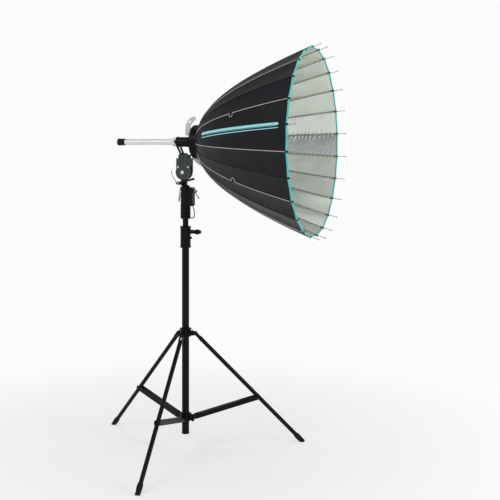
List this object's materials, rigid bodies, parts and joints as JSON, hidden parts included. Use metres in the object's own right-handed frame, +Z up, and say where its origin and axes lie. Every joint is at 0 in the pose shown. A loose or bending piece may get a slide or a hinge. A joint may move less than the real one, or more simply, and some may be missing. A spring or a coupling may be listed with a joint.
{
  "type": "parabolic umbrella reflector on stand",
  "caption": "Deep folding umbrella reflector with a sliding focusing tube on a tilting head, standing on a folding tripod stand.",
  "frame": {"origin": "on the floor, on the stand column centre line", "axes": "+Z up along the column, +X along the reflector axis towards its mouth, pan, tilt and folds at rest"},
  "size_m": [1.2336, 1.0557, 1.9519],
  "materials": {
    "coat_black": "powder-coated",
    "plastic_black": "satin",
    "head_grey": "satin",
    "steel": "satin",
    "rib_rod": "satin",
    "tube_light": "satin",
    "grip_grey": "satin",
    "fabric": "matt"
  },
  "bodies": {
    "stand": {"column": "coat_black", "lower_collar": "coat_black", "riser_clamp": "coat_black"},
    "upper_collar_body": {"upper_collar": "coat_black"},
    "leg_a_body": {"leg_a": "coat_black"},
    "brace_a_body": {"brace_a": "coat_black"},
    "leg_b_body": {"leg_b": "coat_black"},
    "brace_b_body": {"brace_b": "coat_black"},
    "leg_c_body": {"leg_c": "coat_black"},
    "brace_c_body": {"brace_c": "coat_black"},
    "riser": {"riser_tube": "coat_black", "receiver_body": "coat_black"},
    "riser_knob_body": {"riser_knob": "plastic_black"},
    "upper_knob_body": {"upper_knob": "plastic_black"},
    "lower_knob_body": {"lower_knob": "plastic_black"},
    "trigger": {"receiver_trigger": "plastic_black"},
    "receiver_screw_body": {"receiver_screw": "steel"},
    "pan": {"tilt_base": "coat_black"},
    "head": {"head_body": "head_grey", "tube_clamp": "coat_black", "rear_plate": "coat_black", "guide_tube": "steel", "rib_pins": "steel", "canopy": "fabric"},
    "tilt_lever_body": {"tilt_lever": "coat_black"},
    "focus": {"focus_tube": "tube_light", "tube_cap": "plastic_black", "lamp_cradle": "coat_black"},
    "runner_body": {"runner": "plastic_black", "pull_handles": "grip_grey"},
    "rib_01_body": {"rib_01": "rib_rod"},
    "rib_02_body": {"rib_02": "rib_rod"},
    "rib_03_body": {"rib_03": "rib_rod"},
    "rib_04_body": {"rib_04": "rib_rod"},
    "rib_05_body": {"rib_05": "rib_rod"},
    "rib_06_body": {"rib_06": "rib_rod"},
    "rib_07_body": {"rib_07": "rib_rod"},
    "rib_08_body": {"rib_08": "rib_rod"},
    "rib_09_body": {"rib_09": "rib_rod"},
    "rib_10_body": {"rib_10": "rib_rod"},
    "rib_11_body": {"rib_11": "rib_rod"},
    "rib_12_body": {"rib_12": "rib_rod"},
    "rib_13_body": {"rib_13": "rib_rod"},
    "rib_14_body": {"rib_14": "rib_rod"},
    "rib_15_body": {"rib_15": "rib_rod"},
    "rib_16_body": {"rib_16": "rib_rod"},
    "rib_17_body": {"rib_17": "rib_rod"},
    "rib_18_body": {"rib_18": "rib_rod"},
    "rib_19_body": {"rib_19": "rib_rod"},
    "rib_20_body": {"rib_20": "rib_rod"},
    "rib_21_body": {"rib_21": "rib_rod"},
    "rib_22_body": {"rib_22": "rib_rod"},
    "rib_23_body": {"rib_23": "rib_rod"},
    "rib_24_body": {"rib_24": "rib_rod"},
    "stretcher_1_body": {"stretcher_1": "steel"},
    "stretcher_2_body": {"stretcher_2": "steel"},
    "stretcher_3_body": {"stretcher_3": "steel"},
    "stretcher_4_body": {"stretcher_4": "steel"},
    "stretcher_5_body": {"stretcher_5": "steel"},
    "stretcher_6_body": {"stretcher_6": "steel"}
  },
  "joints": [
    {"name": "leg_spread", "type": "slide", "parent": "stand", "child": "upper_collar_body", "axis": [0, 0, 1], "range_m": [0, 0.37559]},
    {"name": "leg_a_fold", "type": "hinge", "parent": "upper_collar_body", "child": "leg_a_body", "pos_m": [-0.04375, 0.02206, 0.569], "axis": [-0.4503, -0.8929, 0], "range_deg": [-0.5, 41.75]},
    {"name": "brace_a_fold", "type": "hinge", "parent": "stand", "child": "brace_a_body", "pos_m": [-0.04464, 0.02251, 0.166], "axis": [0.4503, 0.8929, 0], "range_deg": [-0.5, 74.01]},
    {"name": "leg_b_fold", "type": "hinge", "parent": "upper_collar_body", "child": "leg_b_body", "pos_m": [0.00277, -0.04892, 0.569], "axis": [0.9984, 0.0565, 0], "range_deg": [-0.5, 41.75]},
    {"name": "brace_b_fold", "type": "hinge", "parent": "stand", "child": "brace_b_body", "pos_m": [0.00283, -0.04992, 0.166], "axis": [-0.9984, -0.0565, 0], "range_deg": [-0.5, 74.01]},
    {"name": "leg_c_fold", "type": "hinge", "parent": "upper_collar_body", "child": "leg_c_body", "pos_m": [0.04098, 0.02686, 0.569], "axis": [-0.5481, 0.8364, 0], "range_deg": [-0.5, 41.75]},
    {"name": "brace_c_fold", "type": "hinge", "parent": "stand", "child": "brace_c_body", "pos_m": [0.04182, 0.02741, 0.166], "axis": [0.5481, -0.8364, 0], "range_deg": [-0.5, 74.01]},
    {"name": "riser_slide", "type": "slide", "parent": "stand", "child": "riser", "axis": [0, 0, 1], "range_m": [-0.03, 0.7]},
    {"name": "riser_knob_turn", "type": "hinge", "parent": "stand", "child": "riser_knob_body", "pos_m": [0.04, 0, 1.065], "axis": [1, 0, 0], "range_deg": [-90, 180]},
    {"name": "upper_knob_turn", "type": "hinge", "parent": "upper_collar_body", "child": "upper_knob_body", "pos_m": [0.03572, -0.01801, 0.582], "axis": [0.8929, -0.4503, 0], "range_deg": [-90, 180]},
    {"name": "lower_knob_turn", "type": "hinge", "parent": "stand", "child": "lower_knob_body", "pos_m": [0.03572, -0.01801, 0.167], "axis": [0.8929, -0.4503, 0], "range_deg": [-90, 180]},
    {"name": "trigger_pull", "type": "hinge", "parent": "riser", "child": "trigger", "pos_m": [0.036, 0, 1.193], "axis": [0, -1, 0], "range_deg": [0, 22], "stiffness_Nm_per_rad": 0.3},
    {"name": "receiver_screw_turn", "type": "hinge", "parent": "riser", "child": "receiver_screw_body", "pos_m": [0.05, 0, 1.262], "axis": [1, 0, 0], "range_deg": [-100, 100]},
    {"name": "head_pan", "type": "hinge", "parent": "riser", "child": "pan", "pos_m": [0, 0, 1.262], "axis": [0, 0, 1], "range_deg": [-180, 180]},
    {"name": "head_tilt", "type": "hinge", "parent": "pan", "child": "head", "pos_m": [-0.007, 0, 1.353], "axis": [0, 1, 0], "range_deg": [-75, 35]},
    {"name": "tilt_lever_turn", "type": "hinge", "parent": "pan", "child": "tilt_lever_body", "pos_m": [-0.028, -0.033, 1.301], "axis": [0, 1, 0], "range_deg": [-40, 4]},
    {"name": "focus_slide", "type": "slide", "parent": "head", "child": "focus", "axis": [1, 0, 0], "range_m": [-0.03, 0.255]},
    {"name": "runner_slide", "type": "slide", "parent": "head", "child": "runner_body", "axis": [-1, 0, 0], "range_m": [0, 0.02628], "deforming": ["canopy"]},
    {"name": "rib_01_fold", "type": "hinge", "parent": "head", "child": "rib_01_body", "pos_m": [0.09148, -0.00684, 1.57064], "axis": [0, 0.9953, 0.0964], "range_deg": [-0.5, 34.2]},
    {"name": "rib_02_fold", "type": "hinge", "parent": "head", "child": "rib_02_body", "pos_m": [0.09148, 0.01168, 1.57001], "axis": [0, 0.9864, -0.1645], "range_deg": [-0.5, 34.2]},
    {"name": "rib_03_fold", "type": "hinge", "parent": "head", "child": "rib_03_body", "pos_m": [0.09148, 0.0294, 1.5646], "axis": [0, 0.9102, -0.4142], "range_deg": [-0.5, 34.2]},
    {"name": "rib_04_fold", "type": "hinge", "parent": "head", "child": "rib_04_body", "pos_m": [0.09148, 0.04512, 1.55479], "axis": [0, 0.772, -0.6357], "range_deg": [-0.5, 34.2]},
    {"name": "rib_05_fold", "type": "hinge", "parent": "head", "child": "rib_05_body", "pos_m": [0.09148, 0.05776, 1.54124], "axis": [0, 0.5811, -0.8138], "range_deg": [-0.5, 34.2]},
    {"name": "rib_06_fold", "type": "hinge", "parent": "head", "child": "rib_06_body", "pos_m": [0.09148, 0.06646, 1.52489], "axis": [0, 0.3507, -0.9365], "range_deg": [-0.5, 34.2]},
    {"name": "rib_07_fold", "type": "hinge", "parent": "head", "child": "rib_07_body", "pos_m": [0.09148, 0.07064, 1.50684], "axis": [0, 0.0964, -0.9953], "range_deg": [-0.5, 34.2]},
    {"name": "rib_08_fold", "type": "hinge", "parent": "head", "child": "rib_08_body", "pos_m": [0.09148, 0.07, 1.48832], "axis": [0, -0.1645, -0.9864], "range_deg": [-0.5, 34.2]},
    {"name": "rib_09_fold", "type": "hinge", "parent": "head", "child": "rib_09_body", "pos_m": [0.09148, 0.0646, 1.4706], "axis": [0, -0.4142, -0.9102], "range_deg": [-0.5, 34.2]},
    {"name": "rib_10_fold", "type": "hinge", "parent": "head", "child": "rib_10_body", "pos_m": [0.09148, 0.05479, 1.45488], "axis": [0, -0.6357, -0.772], "range_deg": [-0.5, 34.2]},
    {"name": "rib_11_fold", "type": "hinge", "parent": "head", "child": "rib_11_body", "pos_m": [0.09148, 0.04124, 1.44224], "axis": [0, -0.8138, -0.5811], "range_deg": [-0.5, 34.2]},
    {"name": "rib_12_fold", "type": "hinge", "parent": "head", "child": "rib_12_body", "pos_m": [0.09148, 0.02489, 1.43354], "axis": [0, -0.9365, -0.3507], "range_deg": [-0.5, 34.2]},
    {"name": "rib_13_fold", "type": "hinge", "parent": "head", "child": "rib_13_body", "pos_m": [0.09148, 0.00684, 1.42936], "axis": [0, -0.9953, -0.0964], "range_deg": [-0.5, 34.2]},
    {"name": "rib_14_fold", "type": "hinge", "parent": "head", "child": "rib_14_body", "pos_m": [0.09148, -0.01168, 1.42999], "axis": [0, -0.9864, 0.1645], "range_deg": [-0.5, 34.2]},
    {"name": "rib_15_fold", "type": "hinge", "parent": "head", "child": "rib_15_body", "pos_m": [0.09148, -0.0294, 1.4354], "axis": [0, -0.9102, 0.4142], "range_deg": [-0.5, 34.2]},
    {"name": "rib_16_fold", "type": "hinge", "parent": "head", "child": "rib_16_body", "pos_m": [0.09148, -0.04512, 1.44521], "axis": [0, -0.772, 0.6357], "range_deg": [-0.5, 34.2]},
    {"name": "rib_17_fold", "type": "hinge", "parent": "head", "child": "rib_17_body", "pos_m": [0.09148, -0.05776, 1.45876], "axis": [0, -0.5811, 0.8138], "range_deg": [-0.5, 34.2]},
    {"name": "rib_18_fold", "type": "hinge", "parent": "head", "child": "rib_18_body", "pos_m": [0.09148, -0.06646, 1.47511], "axis": [0, -0.3507, 0.9365], "range_deg": [-0.5, 34.2]},
    {"name": "rib_19_fold", "type": "hinge", "parent": "head", "child": "rib_19_body", "pos_m": [0.09148, -0.07064, 1.49316], "axis": [0, -0.0964, 0.9953], "range_deg": [-0.5, 34.2]},
    {"name": "rib_20_fold", "type": "hinge", "parent": "head", "child": "rib_20_body", "pos_m": [0.09148, -0.07, 1.51168], "axis": [0, 0.1645, 0.9864], "range_deg": [-0.5, 34.2]},
    {"name": "rib_21_fold", "type": "hinge", "parent": "head", "child": "rib_21_body", "pos_m": [0.09148, -0.0646, 1.5294], "axis": [0, 0.4142, 0.9102], "range_deg": [-0.5, 34.2]},
    {"name": "rib_22_fold", "type": "hinge", "parent": "head", "child": "rib_22_body", "pos_m": [0.09148, -0.05479, 1.54512], "axis": [0, 0.6357, 0.772], "range_deg": [-0.5, 34.2]},
    {"name": "rib_23_fold", "type": "hinge", "parent": "head", "child": "rib_23_body", "pos_m": [0.09148, -0.04124, 1.55776], "axis": [0, 0.8138, 0.5811], "range_deg": [-0.5, 34.2]},
    {"name": "rib_24_fold", "type": "hinge", "parent": "head", "child": "rib_24_body", "pos_m": [0.09148, -0.02489, 1.56646], "axis": [0, 0.9365, 0.3507], "range_deg": [-0.5, 34.2]},
    {"name": "stretcher_1_fold", "type": "hinge", "parent": "runner_body", "child": "stretcher_1_body", "pos_m": [0.12, -0.00366, 1.53782], "axis": [0, 0.9953, 0.0964], "range_deg": [-0.5, 36.47]},
    {"name": "stretcher_2_fold", "type": "hinge", "parent": "runner_body", "child": "stretcher_2_body", "pos_m": [0.12, 0.03093, 1.52208], "axis": [0, 0.5811, -0.8138], "range_deg": [-0.5, 36.47]},
    {"name": "stretcher_3_fold", "type": "hinge", "parent": "runner_body", "child": "stretcher_3_body", "pos_m": [0.12, 0.03459, 1.48426], "axis": [0, -0.4142, -0.9102], "range_deg": [-0.5, 36.47]},
    {"name": "stretcher_4_fold", "type": "hinge", "parent": "runner_body", "child": "stretcher_4_body", "pos_m": [0.12, 0.00366, 1.46218], "axis": [0, -0.9953, -0.0964], "range_deg": [-0.5, 36.47]},
    {"name": "stretcher_5_fold", "type": "hinge", "parent": "runner_body", "child": "stretcher_5_body", "pos_m": [0.12, -0.03093, 1.47792], "axis": [0, -0.5811, 0.8138], "range_deg": [-0.5, 36.47]},
    {"name": "stretcher_6_fold", "type": "hinge", "parent": "runner_body", "child": "stretcher_6_body", "pos_m": [0.12, -0.03459, 1.51574], "axis": [0, 0.4142, 0.9102], "range_deg": [-0.5, 36.47]}
  ],
  "couplings": [
    {"joint": "leg_a_fold", "follows": "leg_spread", "rad_per_m": 1.9306},
    {"joint": "brace_a_fold", "follows": "leg_spread", "rad_per_m": 3.4299},
    {"joint": "leg_b_fold", "follows": "leg_spread", "rad_per_m": 1.9306},
    {"joint": "brace_b_fold", "follows": "leg_spread", "rad_per_m": 3.4299},
    {"joint": "leg_c_fold", "follows": "leg_spread", "rad_per_m": 1.9306},
    {"joint": "brace_c_fold", "follows": "leg_spread", "rad_per_m": 3.4299},
    {"joint": "rib_01_fold", "follows": "runner_slide", "rad_per_m": 22.577},
    {"joint": "rib_02_fold", "follows": "runner_slide", "rad_per_m": 22.577},
    {"joint": "rib_03_fold", "follows": "runner_slide", "rad_per_m": 22.577},
    {"joint": "rib_04_fold", "follows": "runner_slide", "rad_per_m": 22.577},
    {"joint": "rib_05_fold", "follows": "runner_slide", "rad_per_m": 22.577},
    {"joint": "rib_06_fold", "follows": "runner_slide", "rad_per_m": 22.577},
    {"joint": "rib_07_fold", "follows": "runner_slide", "rad_per_m": 22.577},
    {"joint": "rib_08_fold", "follows": "runner_slide", "rad_per_m": 22.577},
    {"joint": "rib_09_fold", "follows": "runner_slide", "rad_per_m": 22.577},
    {"joint": "rib_10_fold", "follows": "runner_slide", "rad_per_m": 22.577},
    {"joint": "rib_11_fold", "follows": "runner_slide", "rad_per_m": 22.577},
    {"joint": "rib_12_fold", "follows": "runner_slide", "rad_per_m": 22.577},
    {"joint": "rib_13_fold", "follows": "runner_slide", "rad_per_m": 22.577},
    {"joint": "rib_14_fold", "follows": "runner_slide", "rad_per_m": 22.577},
    {"joint": "rib_15_fold", "follows": "runner_slide", "rad_per_m": 22.577},
    {"joint": "rib_16_fold", "follows": "runner_slide", "rad_per_m": 22.577},
    {"joint": "rib_17_fold", "follows": "runner_slide", "rad_per_m": 22.577},
    {"joint": "rib_18_fold", "follows": "runner_slide", "rad_per_m": 22.577},
    {"joint": "rib_19_fold", "follows": "runner_slide", "rad_per_m": 22.577},
    {"joint": "rib_20_fold", "follows": "runner_slide", "rad_per_m": 22.577},
    {"joint": "rib_21_fold", "follows": "runner_slide", "rad_per_m": 22.577},
    {"joint": "rib_22_fold", "follows": "runner_slide", "rad_per_m": 22.577},
    {"joint": "rib_23_fold", "follows": "runner_slide", "rad_per_m": 22.577},
    {"joint": "rib_24_fold", "follows": "runner_slide", "rad_per_m": 22.577},
    {"joint": "stretcher_1_fold", "follows": "runner_slide", "rad_per_m": 24.087},
    {"joint": "stretcher_2_fold", "follows": "runner_slide", "rad_per_m": 24.087},
    {"joint": "stretcher_3_fold", "follows": "runner_slide", "rad_per_m": 24.087},
    {"joint": "stretcher_4_fold", "follows": "runner_slide", "rad_per_m": 24.087},
    {"joint": "stretcher_5_fold", "follows": "runner_slide", "rad_per_m": 24.087},
    {"joint": "stretcher_6_fold", "follows": "runner_slide", "rad_per_m": 24.087}
  ]
}
